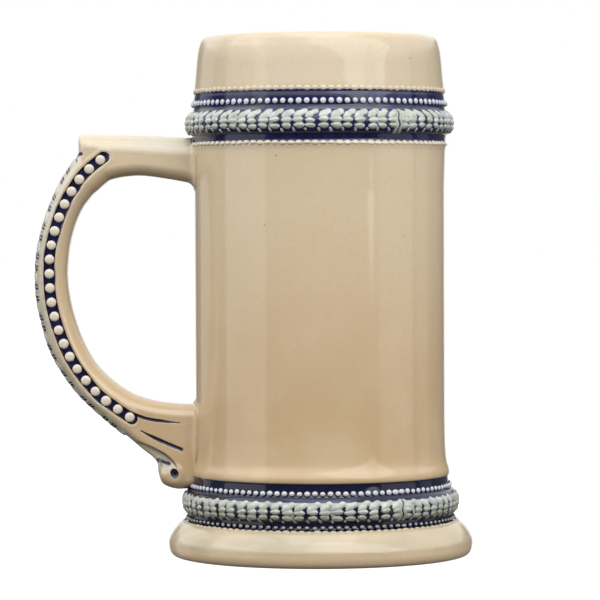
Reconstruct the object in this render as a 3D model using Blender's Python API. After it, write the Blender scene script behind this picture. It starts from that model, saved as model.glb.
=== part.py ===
"""A half-litre ceramic beer stein without a lid, in metres, +Z up.

The origin is on the cup's axis, in the plane it stands on. The handle is on the -X side.
The body is turned from one profile. The handle is lofted through a few cross sections and ends
short of the wall, and a thin bed of slip fills each joint, as on a real cup with a stuck-on handle.
"""

import math

import bmesh
import bpy
from mathutils import Vector

# Driving dimensions
HEIGHT = 0.168
WALL_RADIUS = 0.0405
FOOT_RADIUS = 0.0494
WALL_THICKNESS = 0.0051
FLOOR_TOP = 0.0090
RECESS_DEPTH = 0.0010
RECESS_RADIUS = 0.0402
FOOT_RING_OUTER = 0.0455
TURN_STEPS = 64

# The rounded lip
LIP_CREST_RADIUS = 0.0367
LIP_HALF_WIDTH = 0.0019
LIP_ROUND = 0.0023

# The rounded corner inside, between floor and wall
CORNER_RADIUS = 0.0060

# Each leaf band is a rounded ring: (lower end, apex, upper end), each a (radius, height)
UPPER_LEAF_BAND = ((0.0418, 0.1362), (0.0437, 0.1395), (0.0413, 0.1433))
LOWER_LEAF_BAND = ((0.0439, 0.0142), (0.0451, 0.0178), (0.04295, 0.0217))
BAND_STEPS = 5

# The joints: the slip is this thick, with a hairline of clearance on both sides
SLIP_THICKNESS = 0.0015
CLEARANCE = 0.0003

# The slip's outline on the wall: (lowest, highest, half width)
UPPER_SLIP = (0.1188, 0.1368, 0.0090)
LOWER_SLIP = (0.0228, 0.0502, 0.0086)
SLIP_CORNER = 0.0030
SLIP_DEEPEST = -0.0300
SLIP_OUTERMOST = -0.0520

# The handle's cross sections from the wall at the top to the wall at the bottom:
# (outer x, outer z, inner x, inner z, half width)
HANDLE_SECTIONS = (
    (-0.0340, 0.1350, -0.0340, 0.1196, 0.0076),
    (-0.0442, 0.1355, -0.0440, 0.1212, 0.0077),
    (-0.0590, 0.1364, -0.0560, 0.1231, 0.0080),
    (-0.0700, 0.1365, -0.0640, 0.1226, 0.0083),
    (-0.0772, 0.1362, -0.0690, 0.1211, 0.0085),
    (-0.0784, 0.1322, -0.0711, 0.1192, 0.0085),
    (-0.0800, 0.1286, -0.0738, 0.1166, 0.0085),
    (-0.0842, 0.1216, -0.0768, 0.1122, 0.0085),
    (-0.0890, 0.1099, -0.0799, 0.1050, 0.0085),
    (-0.0920, 0.0982, -0.0814, 0.0965, 0.0085),
    (-0.0925, 0.0904, -0.0816, 0.0904, 0.0085),
    (-0.0910, 0.0788, -0.0806, 0.0812, 0.0085),
    (-0.0861, 0.0632, -0.0768, 0.0697, 0.0085),
    (-0.0780, 0.0515, -0.0702, 0.0596, 0.0085),
    (-0.0693, 0.0437, -0.0630, 0.0541, 0.0084),
    (-0.0592, 0.0359, -0.0545, 0.0505, 0.0082),
    (-0.0534, 0.0318, -0.0480, 0.0496, 0.0080),
    (-0.0522, 0.0268, -0.0440, 0.0493, 0.0079),
    (-0.0494, 0.0223, -0.0415, 0.0492, 0.0078),
    (-0.0453, 0.0214, -0.0390, 0.0491, 0.0077),
    (-0.0340, 0.0218, -0.0340, 0.0490, 0.0076),
)
STEPS_BETWEEN_SECTIONS = 2
SECTION_CORNER = 0.0034
SECTION_CORNER_STEPS = 3


def clear_scene():
    for item in list(bpy.data.objects):
        bpy.data.objects.remove(item, do_unlink=True)


def make_material(name, colour, roughness):
    material = bpy.data.materials.new(name)
    material.use_nodes = True
    shader = material.node_tree.nodes["Principled BSDF"]
    shader.inputs["Base Color"].default_value = (*colour, 1.0)
    shader.inputs["Roughness"].default_value = roughness
    shader.inputs["Metallic"].default_value = 0.0
    return material


def add_object(name, mesh, material=None):
    item = bpy.data.objects.new(name, mesh)
    bpy.context.scene.collection.objects.link(item)
    if material:
        mesh.materials.append(material)
    return item


def hide_cutter(cutter):
    cutter.hide_render = True
    cutter.display_type = "WIRE"


def ellipse_arc(centre, radii, first_deg, last_deg, steps):
    """Points on an ellipse in the (radius, height) plane, both ends included."""
    points = []
    for i in range(steps + 1):
        angle = math.radians(first_deg + (last_deg - first_deg) * i / steps)
        points.append((centre[0] + radii[0] * math.cos(angle), centre[1] + radii[1] * math.sin(angle)))
    return points


def ring_bulge(band):
    """The leaf band's rounded outline, top to bottom, as two quarter ellipses that meet at its apex."""
    lower, apex, upper = band
    above = ellipse_arc((upper[0], apex[1]), (apex[0] - upper[0], upper[1] - apex[1]), 90, 0, BAND_STEPS)
    below = ellipse_arc((lower[0], apex[1]), (apex[0] - lower[0], apex[1] - lower[1]), 0, -90, BAND_STEPS)
    return above + below[1:]


def outer_profile():
    """The body's outer side, top to bottom, below the lip."""
    collar = [(0.0391, 0.1638), (0.0396, 0.1605), (0.0400, 0.1560), (WALL_RADIUS, 0.1514)]
    upper_edge = [(0.0413, 0.1501), (0.0407, 0.1488), (0.0416, 0.1460)]
    below_upper_band = [(0.0414, 0.1350), (0.0418, 0.1331), (0.0409, 0.1316)]
    wall = [(0.04065, 0.1248), (WALL_RADIUS, 0.1180), (WALL_RADIUS, 0.0820), (WALL_RADIUS, 0.0450)]
    above_lower_band = [(0.0409, 0.0340), (0.0413, 0.0296), (0.0421, 0.0274), (0.04165, 0.0256), (0.0428, 0.0233)]
    ledge = [(0.0438, 0.0130), (0.0436, 0.0116), (0.0453, 0.0108), (0.0476, 0.0080)]
    foot_nose = [(0.0487, 0.00675), (FOOT_RADIUS, 0.0048), (0.0492, 0.00285), (0.0486, 0.0014), (0.0472, 0.0003)]
    return (
        collar
        + upper_edge
        + ring_bulge(UPPER_LEAF_BAND)
        + below_upper_band
        + wall
        + above_lower_band
        + ring_bulge(LOWER_LEAF_BAND)
        + ledge
        + foot_nose
    )


def body_profile():
    """The whole half section: inner floor, inner wall, lip, outer side, foot ring and recess."""
    inner_radius = WALL_RADIUS - WALL_THICKNESS
    floor = [(0.0, FLOOR_TOP)]
    corner_centre = (inner_radius - CORNER_RADIUS, FLOOR_TOP + CORNER_RADIUS)
    corner = ellipse_arc(corner_centre, (CORNER_RADIUS, CORNER_RADIUS), -90, 0, 5)
    inner_wall = [(inner_radius, 0.0850), (inner_radius, 0.1500)]
    lip_centre = (LIP_CREST_RADIUS, HEIGHT - LIP_ROUND)
    lip = ellipse_arc(lip_centre, (LIP_HALF_WIDTH, LIP_ROUND), 180, 0, 8)
    foot_ring = [(FOOT_RING_OUTER, 0.0), (RECESS_RADIUS + RECESS_DEPTH, 0.0)]
    recess = [(RECESS_RADIUS, RECESS_DEPTH), (0.0, RECESS_DEPTH)]
    return floor + corner + inner_wall + lip + outer_profile() + foot_ring + recess


def turned_object(name, profile, material=None):
    """A closed solid turned round Z from a profile whose two ends lie on the axis."""
    mesh = bpy.data.meshes.new(name)
    vertices = [(radius, 0.0, height) for radius, height in profile]
    edges = [(i, i + 1) for i in range(len(vertices) - 1)]
    mesh.from_pydata(vertices, edges, [])
    item = add_object(name, mesh, material)
    screw = item.modifiers.new("turn", "SCREW")
    screw.axis = "Z"
    screw.angle = math.tau
    screw.steps = TURN_STEPS
    screw.render_steps = TURN_STEPS
    screw.use_merge_vertices = True
    screw.merge_threshold = 0.00001
    screw.use_smooth_shade = True
    return item


def wall_cutter(name, offset):
    """The space that the body fills, grown outwards by an offset, to trim what touches the wall."""
    side = [(radius + offset, height) for radius, height in outer_profile()]
    top = (0.0, side[0][1])
    bottom = (0.0, side[-1][1])
    cutter = turned_object(name, [top] + side + [bottom])
    hide_cutter(cutter)
    return cutter


def add_boolean(item, cutter, operation):
    boolean = item.modifiers.new(cutter.name, "BOOLEAN")
    boolean.operation = operation
    boolean.solver = "EXACT"
    boolean.object = cutter


def smooth_between(before, start, end, after, t):
    """One point of a Catmull-Rom curve between start and end."""
    t2 = t * t
    t3 = t2 * t
    return tuple(
        0.5 * (2 * b + (c - a) * t + (2 * a - 5 * b + 4 * c - d) * t2 + (3 * b - a - 3 * c + d) * t3)
        for a, b, c, d in zip(before, start, end, after)
    )


def smooth_sections(sections, steps):
    """The given cross sections with more of them in between, on smooth curves."""
    padded = [sections[0], *sections, sections[-1]]
    result = []
    for i in range(1, len(padded) - 2):
        for k in range(steps):
            result.append(smooth_between(*padded[i - 1 : i + 3], k / steps))
    result.append(sections[-1])
    return result


def rounded_rectangle(half_across, half_width, corner, steps):
    """Points of a rounded rectangle, anticlockwise, as (across, sideways)."""
    points = []
    centres = ((1, 1, 0), (-1, 1, 90), (-1, -1, 180), (1, -1, 270))
    for sign_across, sign_side, first_deg in centres:
        centre = (sign_across * (half_across - corner), sign_side * (half_width - corner))
        points += ellipse_arc(centre, (corner, corner), first_deg, first_deg + 90, steps)
    return points


def loft(name, rings, material=None):
    """A closed solid through rings that have the same number of points, with flat ends."""
    work = bmesh.new()
    loops = [[work.verts.new(point) for point in ring] for ring in rings]
    count = len(loops[0])
    for first, second in zip(loops, loops[1:]):
        for i in range(count):
            k = (i + 1) % count
            work.faces.new((first[i], first[k], second[k], second[i]))
    work.faces.new(loops[0])
    work.faces.new(loops[-1])
    bmesh.ops.recalc_face_normals(work, faces=work.faces)
    mesh = bpy.data.meshes.new(name)
    work.to_mesh(mesh)
    work.free()
    mesh.shade_smooth()
    return add_object(name, mesh, material)


def handle_ring(section):
    """One cross section of the handle, in the plane through its outer and inner points."""
    outer_x, outer_z, inner_x, inner_z, half_width = section
    outer = Vector((outer_x, 0.0, outer_z))
    inner = Vector((inner_x, 0.0, inner_z))
    middle = (outer + inner) / 2
    across = (outer - inner).normalized()
    sideways = Vector((0.0, 1.0, 0.0))
    half_across = (outer - inner).length / 2
    outline = rounded_rectangle(half_across, half_width, SECTION_CORNER, SECTION_CORNER_STEPS)
    return [middle + across * u + sideways * v for u, v in outline]


def slip_block(name, outline, material):
    """A block across the wall with the slip's outline, before it is trimmed to a thin bed."""
    lowest, highest, half_width = outline
    middle = (lowest + highest) / 2
    shape = rounded_rectangle((highest - lowest) / 2, half_width, SLIP_CORNER, SECTION_CORNER_STEPS)
    rings = [[(x, v, middle + u) for u, v in shape] for x in (SLIP_DEEPEST, SLIP_OUTERMOST)]
    return loft(name, rings, material)


def make_body():
    glaze = make_material("cream_glaze", (0.60, 0.46, 0.30), 0.12)
    return turned_object("body", body_profile(), glaze)


def make_handle():
    glaze = make_material("handle_glaze", (0.62, 0.48, 0.32), 0.12)
    rings = [handle_ring(section) for section in smooth_sections(HANDLE_SECTIONS, STEPS_BETWEEN_SECTIONS)]
    handle = loft("handle", rings, glaze)
    cutter = wall_cutter("handle_cutter", SLIP_THICKNESS + 2 * CLEARANCE)
    add_boolean(handle, cutter, "DIFFERENCE")
    return handle


def make_slip_joint(name, outline):
    slip = make_material(name + "_glaze", (0.52, 0.44, 0.32), 0.15)
    joint = slip_block(name, outline, slip)
    add_boolean(joint, wall_cutter(name + "_face", SLIP_THICKNESS + CLEARANCE), "INTERSECT")
    add_boolean(joint, wall_cutter(name + "_back", CLEARANCE), "DIFFERENCE")
    return joint


clear_scene()
make_body()
make_handle()
make_slip_joint("upper_slip_joint", UPPER_SLIP)
make_slip_joint("lower_slip_joint", LOWER_SLIP)
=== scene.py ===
"""The looks of a half-litre relief stein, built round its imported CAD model.

Shapes are worked out in millimetres in the CAD frame (Z up, the cup's axis at the origin, the
handle towards -X) and turned into metres when a mesh is made. Glaze colours come from two vertex
attributes. "blue" says how much cobalt lies at a point: 1 is a full coat and 2 a pool that fires
black. "pale" says which light glaze lies there: 0 for the plain cream, 1 for the leaves' greenish
white, 2 for the pearls' colder white, 3 for milk.
"""

import math

import bpy
import numpy as np
from mathutils import Matrix, Vector


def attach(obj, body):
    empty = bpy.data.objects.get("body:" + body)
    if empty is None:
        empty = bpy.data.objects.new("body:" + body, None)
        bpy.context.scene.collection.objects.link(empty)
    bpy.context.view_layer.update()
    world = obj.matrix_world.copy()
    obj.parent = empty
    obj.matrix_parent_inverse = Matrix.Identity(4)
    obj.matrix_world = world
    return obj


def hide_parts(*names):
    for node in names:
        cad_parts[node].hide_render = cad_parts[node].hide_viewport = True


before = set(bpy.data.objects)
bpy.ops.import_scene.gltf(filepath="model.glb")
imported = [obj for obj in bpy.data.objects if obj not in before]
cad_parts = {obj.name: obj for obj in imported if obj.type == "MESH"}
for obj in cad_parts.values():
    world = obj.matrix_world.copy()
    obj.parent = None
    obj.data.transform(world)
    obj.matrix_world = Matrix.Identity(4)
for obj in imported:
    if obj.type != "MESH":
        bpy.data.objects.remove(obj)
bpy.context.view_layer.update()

MM = 0.001
RANDOM = np.random.default_rng(7)
wobble = RANDOM.standard_normal

# The cup, in millimetres
HEIGHT = 168.0
INNER_RADIUS = 35.4
FLOOR_TOP = 9.0
CORNER_RADIUS = 6.0
OUTSIDE_RADIUS = 38.0
CLAY_TOP = 0.25
TURN_STEPS = 256

# For each band: the heights between which its ground is cobalt, and between which a painted reflection
# lightens that cobalt
UPPER_BLUE = (133.5, 149.8, 143.2, 144.1)
LOWER_BLUE = (11.3, 26.0, 21.5, 22.1)

# Angles are seen from above, anticlockwise from +X. The mould's two seams lie on one line.
FRONT = -0.5 * math.pi
SEAM = FRONT + math.radians(35.6)


# ---- curves and meshes


def catmull(before, start, end, after, t):
    """Points between start and end on a Catmull-Rom curve, for t from 0 to 1."""
    t = t[:, None]
    linear = end - before
    square = 2 * before - 5 * start + 4 * end - after
    cube = 3 * start - before - 3 * end + after
    return 0.5 * (2 * start + linear * t + square * t**2 + cube * t**3)


def smooth_rows(rows, steps):
    """Rows of numbers with more rows between them on smooth curves, steps[i] of them after row i."""
    rows = np.asarray(rows, float)
    padded = np.vstack([2 * rows[0] - rows[1], rows, 2 * rows[-1] - rows[-2]])
    parts = []
    for i in range(len(rows) - 1):
        t = np.arange(steps[i]) / steps[i]
        parts.append(catmull(*padded[i : i + 4], t))
    parts.append(rows[-1:])
    return np.vstack(parts)


def smooth_line(points, spacing):
    """A smooth curve through points, resampled to about this spacing."""
    points = np.asarray(points, float)
    fine = smooth_rows(points, [24] * (len(points) - 1))
    length = arc_length(fine)
    count = max(2, int(round(length[-1] / spacing)) + 1)
    return at_lengths(fine, length, np.linspace(0, length[-1], count))


def at_lengths(rows, length, wanted):
    """Rows of numbers read off at the wanted distances along a line."""
    return np.column_stack([np.interp(wanted, length, column) for column in rows.T])


def arc_length(points):
    """The distance along a line of points, at each of them."""
    steps = np.linalg.norm(np.diff(points, axis=0), axis=1)
    return np.concatenate([[0.0], np.cumsum(steps)])


def ellipse_arc(centre, radii, first_deg, last_deg, steps):
    angles = np.radians(np.linspace(first_deg, last_deg, steps + 1))
    return np.array(centre) + np.array(radii) * np.column_stack([np.cos(angles), np.sin(angles)])


def ramp(low, high, x):
    """0 where x is low, 1 where it is high, and smooth between. Low may be the larger number."""
    t = np.clip((np.asarray(x) - low) / (high - low), 0, 1)
    return t * t * (3 - 2 * t)


def nearest_on_line(points, line):
    """Each point's distance to a polyline, how far along it the nearest place lies, from 0 to 1, and
    the point's side of it: 1 to the left, -1 to the right."""
    best = np.full(len(points), np.inf)
    along = np.zeros(len(points))
    side = np.zeros(len(points))
    length = arc_length(line)
    for i in range(len(line) - 1):
        start = line[i]
        step = line[i + 1] - start
        t = np.clip(((points - start) @ step) / (step @ step), 0, 1)
        gap = np.linalg.norm(points - start - t[:, None] * step, axis=1)
        cross = step[0] * (points[:, 1] - start[1]) - step[1] * (points[:, 0] - start[0])
        nearer = gap < best
        best[nearer] = gap[nearer]
        along[nearer] = (length[i] + t[nearer] * (length[i + 1] - length[i])) / length[-1]
        side[nearer] = np.sign(cross[nearer])
    return best, along, side


def grid_faces(rows, columns, closed_rows=False, closed_columns=False, first=0):
    """Quads over a grid of points that are numbered row by row."""
    i = np.arange(rows if closed_rows else rows - 1)
    j = np.arange(columns if closed_columns else columns - 1)
    i, j = np.meshgrid(i, j, indexing="ij")
    i2 = (i + 1) % rows
    j2 = (j + 1) % columns
    corners = [i * columns + j, i * columns + j2, i2 * columns + j2, i2 * columns + j]
    return first + np.stack(corners, axis=-1).reshape(-1, 4)


def add_object(name, data):
    item = bpy.data.objects.new(name, data)
    bpy.context.scene.collection.objects.link(item)
    return item


def make_piece(name, points, faces, materials, blue=None, pale=None):
    """A mesh object from points in millimetres, with the glaze's attributes, riding on the root."""
    mesh = bpy.data.meshes.new(name)
    mesh.from_pydata((np.asarray(points) * MM).tolist(), [], [list(map(int, f)) for f in faces])
    for label, values in (("blue", blue), ("pale", pale)):
        values = np.zeros(len(points)) if values is None else values
        layer = mesh.attributes.new(label, "FLOAT", "POINT")
        layer.data.foreach_set("value", np.asarray(values, np.float32))
    for material in materials:
        mesh.materials.append(material)
    mesh.shade_smooth()
    item = add_object(name, mesh)
    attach(item, "root")
    return item


def turned_points(profile, steps):
    """The points of a profile turned round Z, in rows of steps points."""
    angles = np.linspace(0, math.tau, steps, endpoint=False)
    radius = profile[:, 0][:, None]
    height = np.repeat(profile[:, 1][:, None], steps, axis=1)
    return np.stack([radius * np.cos(angles), radius * np.sin(angles), height], axis=-1)


# ---- materials


def linear(*colour):
    """A colour given in sRGB from 0 to 255, as Blender's linear numbers. No channel here is under 11."""
    return (*(((value / 255 + 0.055) / 1.055) ** 2.4 for value in colour), 1.0)


def new_material(name):
    material = bpy.data.materials.new(name)
    material.use_nodes = True
    return material, material.node_tree, material.node_tree.nodes["Principled BSDF"]


def add_node(tree, kind, inputs=None, **settings):
    """A shader node. Its inputs are given by name or number, as sockets to link or as plain values."""
    node = tree.nodes.new(kind)
    for key, value in settings.items():
        setattr(node, key, value)
    set_inputs(tree, node, inputs or {})
    return node


def set_inputs(tree, node, inputs):
    for key, value in inputs.items():
        if isinstance(value, bpy.types.NodeSocket):
            tree.links.new(value, node.inputs[key])
        else:
            node.inputs[key].default_value = value


def mix(tree, factor, first, second, blend="MIX"):
    inputs = {0: factor, 6: first, 7: second}
    return add_node(tree, "ShaderNodeMix", inputs, data_type="RGBA", blend_type=blend).outputs[2]


def add_math(tree, operation, first, second):
    return add_node(tree, "ShaderNodeMath", {0: first, 1: second}, operation=operation).outputs[0]


def map_range(tree, value, low, high, to_low=0.0, to_high=1.0):
    """A smooth ramp: to_low where the value is low, to_high where it is high."""
    inputs = {"Value": value, "From Min": low, "From Max": high, "To Min": to_low, "To Max": to_high}
    return add_node(tree, "ShaderNodeMapRange", inputs, interpolation_type="SMOOTHSTEP").outputs["Result"]


def noise(tree, place, scale, detail):
    inputs = {"Vector": place, "Scale": scale, "Detail": detail}
    return add_node(tree, "ShaderNodeTexNoise", inputs).outputs["Fac"]


def patches(tree, place, scale, detail, low, high, most=1.0):
    """Soft random patches from 0 to most, made of the part of a noise between low and high."""
    return map_range(tree, noise(tree, place, scale, detail), low, high, 0.0, most)


def specks(tree, place, scale, size, share):
    """A mask of tiny round specks, one in a share of a Voronoi texture's cells."""
    cells = add_node(tree, "ShaderNodeTexVoronoi", {"Vector": place, "Scale": scale}, voronoi_dimensions="3D")
    split = add_node(tree, "ShaderNodeSeparateColor", {"Color": cells.outputs["Color"]})
    chosen = map_range(tree, split.outputs["Red"], 1 - share, 1 - share * 0.5)
    near = map_range(tree, cells.outputs["Distance"], size * 0.5, size, 1.0, 0.0)
    return add_math(tree, "MULTIPLY", chosen, near)


def bump(tree, height, strength, distance, under=None, invert=False):
    """A bumped normal, on top of another one if one is given."""
    inputs = {"Height": height, "Strength": strength, "Distance": distance}
    if under is not None:
        inputs["Normal"] = under
    return add_node(tree, "ShaderNodeBump", inputs, invert=invert).outputs["Normal"]


CREAM_TOP = linear(194, 177, 150)
CREAM_LOW = linear(177, 151, 116)
ARM_TOP_PAINTED_HIGHLIGHT = linear(182, 174, 154)
CREAM_COLLAR = linear(186, 172, 147)
FOOT_PAINTED_HIGHLIGHT = linear(165, 153, 130)
CREAM_HEEL = linear(192, 170, 138)
CREAM_CLOUD = linear(190, 171, 140)
CREAM_GRAIN = linear(160, 134, 100)
RELIEF_LIGHT = linear(173, 176, 170)
RELIEF_GREEN = linear(153, 155, 138)
RELIEF_BLUE = linear(142, 150, 164)
RELIEF_SHADE = linear(112, 112, 92)
PEARL_WHITE = linear(180, 182, 183)
MILK = linear(198, 187, 170)
COBALT_DEEP = linear(13, 13, 52)
COBALT_LOW = linear(15, 15, 34)
COBALT_THIN = linear(26, 29, 74)
COBALT_INK = linear(20, 16, 26)
COBALT_WASH = linear(150, 160, 205)
PINHOLE = linear(110, 84, 60)
CLAY_LIGHT = linear(214, 194, 164)
CLAY_DARK = linear(190, 168, 138)

# Where the glaze's tones and its painted light and shade change: a ramp's start and its full end, in
# metres up the cup. The arm's second ramp runs outwards along X.
WARM_AND_PAINTED_SHADE_BELOW = (0.140, 0.030)
ARM_TOP_ABOVE = (0.1290, 0.1325)
ARM_BEYOND_X = (-0.0405, -0.0430)
COLLAR_ABOVE = (0.1400, 0.1440)
FOOT_BELOW = (0.018, 0.012)
HEEL_BELOW = (0.0060, 0.0030)
DULL_COBALT_BELOW = (0.060, 0.028)
SHADE_UNDER_UPPER = (0.1405, 0.1370)
SHADE_OVER_WALL = (0.1337, 0.1347)
SHADE_UNDER_LOWER = (0.0190, 0.0150)

GLAZE_ROUGHNESS = 0.09
GLAZE_IOR = 1.5
CLAY_ROUGHNESS = 0.75


def cream_colour(tree, place, x, z):
    """The plain glaze: warmer and painted darker down the wall, with painted highlights on the arm's top and
    the foot and a greyer collar.
    """
    # Painted shade: the cream darkens down the wall as if lit from above; its warmth lower down is the
    # glaze's own tone
    cream = mix(tree, map_range(tree, z, *WARM_AND_PAINTED_SHADE_BELOW), CREAM_TOP, CREAM_LOW)
    # Painted highlight: the arm's upward-facing rounded top is tinted cooler and greyer, as the overhead
    # light's reflection makes it
    on_arm = map_range(tree, x, *ARM_BEYOND_X)
    arm_top_highlight = add_math(tree, "MULTIPLY", on_arm, map_range(tree, z, *ARM_TOP_ABOVE))
    cream = mix(tree, arm_top_highlight, cream, ARM_TOP_PAINTED_HIGHLIGHT)
    # The collar's greyer tone holds the painted light from above back there; the foot's greyer tone is a
    # painted highlight on its upward slope, and the heel under it returns to plain cream
    for stretch, tone in ((COLLAR_ABOVE, CREAM_COLLAR), (FOOT_BELOW, FOOT_PAINTED_HIGHLIGHT), (HEEL_BELOW, CREAM_HEEL)):
        cream = mix(tree, map_range(tree, z, *stretch), cream, tone)
    clouds = patches(tree, place, 45, 4.0, 0.35, 0.70, 0.5)
    cream = mix(tree, clouds, cream, CREAM_CLOUD)
    fine = patches(tree, place, 900, 2.0, 0.30, 0.75, 0.10)
    return mix(tree, fine, cream, CREAM_GRAIN)


def relief_colour(tree, place, z, pale):
    """The light glaze of the leaves, pearls and milky beads, with painted shade on the bands' lower halves
    and the foot's pearls.
    """
    relief = mix(tree, patches(tree, place, 420, 3.0, 0.35, 0.65), RELIEF_LIGHT, RELIEF_GREEN)
    relief = mix(tree, patches(tree, place, 210, 2.0, 0.50, 0.75, 0.45), relief, RELIEF_BLUE)
    relief = mix(tree, map_range(tree, pale, 1.0, 2.0), relief, PEARL_WHITE)
    relief = mix(tree, map_range(tree, pale, 2.0, 3.0), relief, MILK)
    # Painted shade: the downward-facing lower half of each leaf band, and the foot's pearls under the lower
    # one, darken towards RELIEF_SHADE
    over_wall = map_range(tree, z, *SHADE_OVER_WALL, 0.0, 0.35)
    upper_shade = add_math(tree, "MULTIPLY", map_range(tree, z, *SHADE_UNDER_UPPER), over_wall)
    relief = mix(tree, upper_shade, relief, RELIEF_SHADE)
    lower_shade = map_range(tree, z, *SHADE_UNDER_LOWER, 0.0, 0.65)
    return mix(tree, lower_shade, relief, RELIEF_SHADE)


def glaze_material():
    """One glaze for the whole cup, which turns to pale relief and to pooled cobalt by attribute."""
    material, tree, shader = new_material("stoneware_glaze")
    place = add_node(tree, "ShaderNodeTexCoord").outputs["Object"]
    split = add_node(tree, "ShaderNodeSeparateXYZ", {"Vector": place})
    x, z = split.outputs["X"], split.outputs["Z"]
    blue = add_node(tree, "ShaderNodeAttribute", attribute_name="blue").outputs["Fac"]
    pale = add_node(tree, "ShaderNodeAttribute", attribute_name="pale").outputs["Fac"]

    cream = cream_colour(tree, place, x, z)
    relief = relief_colour(tree, place, z, pale)
    colour = mix(tree, map_range(tree, pale, 0.0, 1.0), cream, relief)
    cobalt = mix(tree, patches(tree, place, 300, 3.0, 0.35, 0.70), COBALT_DEEP, COBALT_THIN)
    cobalt = mix(tree, map_range(tree, z, *DULL_COBALT_BELOW, 0.0, 0.8), cobalt, COBALT_LOW)
    colour = mix(tree, map_range(tree, blue, 0.02, 0.45), colour, COBALT_WASH, "MULTIPLY")
    colour = mix(tree, map_range(tree, blue, 0.35, 0.85), colour, cobalt)
    colour = mix(tree, map_range(tree, blue, 1.0, 1.8), colour, COBALT_INK)
    pinholes = specks(tree, place, 520, 0.16, 0.012)
    colour = mix(tree, pinholes, colour, PINHOLE)
    ripple = bump(tree, noise(tree, place, 160, 2.0), 0.05, 0.0004)
    pits = bump(tree, pinholes, 0.35, 0.0001, ripple, True)
    inputs = {"Base Color": colour, "Roughness": GLAZE_ROUGHNESS, "IOR": GLAZE_IOR, "Normal": pits}
    set_inputs(tree, shader, inputs)
    return material


def clay_material():
    """The dry clay of the foot ring, where the glaze is wiped off."""
    material, tree, shader = new_material("bare_clay")
    place = add_node(tree, "ShaderNodeTexCoord").outputs["Object"]
    grain = patches(tree, place, 1500, 4.0, 0.35, 0.70)
    colour = mix(tree, grain, CLAY_LIGHT, CLAY_DARK)
    rough = bump(tree, grain, 0.4, 0.0001)
    set_inputs(tree, shader, {"Base Color": colour, "Roughness": CLAY_ROUGHNESS, "Normal": rough})
    return material


GLAZE = glaze_material()
CLAY = clay_material()


# ---- the turned cup


# The inner wall below the lip, as (radius, height) points
INNER_WALL = ((35.4, 15.4), (35.4, 90), (35.4, 150), (35.2, 160), (34.85, 165.2))

# The outer side below the lip, top to bottom: each run's spacing and its (radius, height) points.
# The runs under the leaf bands are covered by them.
OUTER_RUNS = {
    "collar": (0.7, ((38.64, 165.5), (39.15, 163.6), (39.6, 160.5), (40.0, 156.0), (40.35, 152.2))),
    "collar foot": (0.3, ((40.35, 152.2), (40.45, 151.0), (40.5, 149.95))),
    "upper ground": (
        0.3,
        ((40.5, 149.65), (40.42, 149.2), (40.58, 148.2), (40.72, 146.2), (40.78, 144.7), (41.1, 143.6)),
    ),
    "under the upper leaves": (0.8, ((41.3, 142.4), (42.4, 139.4), (41.3, 136.3))),
    "upper channel": (0.3, ((41.1, 135.7), (40.95, 134.8), (40.9, 134.1), (41.0, 133.7))),
    "wall top": (0.6, ((41.25, 133.3), (41.22, 132.5), (40.88, 130.8), (40.7, 126), (40.5, 118))),
    "wall": (2.2, ((40.5, 118), (40.5, 80), (40.5, 45))),
    "wall foot": (
        0.7,
        ((40.5, 45), (40.6, 39), (40.8, 33.6), (41.15, 30.6), (41.8, 28.4), (42.0, 27.3), (41.9, 26.4)),
    ),
    "lower ground": (0.3, ((41.55, 25.9), (41.5, 25.2), (41.65, 23.5), (41.8, 22.5), (42.3, 21.6))),
    "under the lower leaves": (0.8, ((42.6, 20.8), (43.7, 17.8), (42.8, 14.9))),
    "lower channel": (0.4, ((42.75, 14.1), (42.75, 12.4), (43.0, 11.7), (43.7, 11.3))),
    "foot": (0.45, ((44.4, 11.25), (45.4, 10.9), (46.5, 10.0), (47.9, 8.2), (48.85, 6.5))),
    "nose": (
        0.4,
        ((48.85, 6.5), (49.3, 5.4), (49.4, 4.2), (49.25, 2.6), (48.75, 1.2), (47.9, 0.35), (46.8, 0.03)),
    ),
}

# The flat ring it stands on and its inner bevel, up to the recess. Two runs that end and start
# closer than SAME_POINT share that point.
FOOT_RING = ((46.0, 0.0), (44.5, 0.0), (42.5, 0.0), (41.3, 0.0), (40.7, 0.35), (40.3, 1.0))
SAME_POINT = 0.01


def cup_profile():
    """The half section from the inner floor's middle to the underside's middle."""
    corner_middle = INNER_RADIUS - CORNER_RADIUS
    floor = np.column_stack([np.linspace(0, corner_middle, 12)[:-1], np.full(11, FLOOR_TOP)])
    corner = (CORNER_RADIUS, CORNER_RADIUS)
    corner = ellipse_arc((corner_middle, FLOOR_TOP + CORNER_RADIUS), corner, -90, 0, 10)
    inner = smooth_line(INNER_WALL, 3.0)[1:-1]
    lip_inside = ellipse_arc((35.9, 165.2), (1.05, 2.8), 180, 90, 8)
    lip_outside = ellipse_arc((35.9, 164.3), (2.9, 3.7), 90, 19, 14)[1:]
    parts = [floor, corner, inner, lip_inside, lip_outside]
    for spacing, points in OUTER_RUNS.values():
        run = smooth_line(points, spacing)
        shared = np.abs(run[0] - parts[-1][-1]).max() < SAME_POINT
        parts.append(run[1:] if shared else run)
    under = np.column_stack([np.linspace(39.5, 0, 10), np.full(10, 1.0)])
    return np.vstack([*parts, np.array(FOOT_RING), under])


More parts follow.
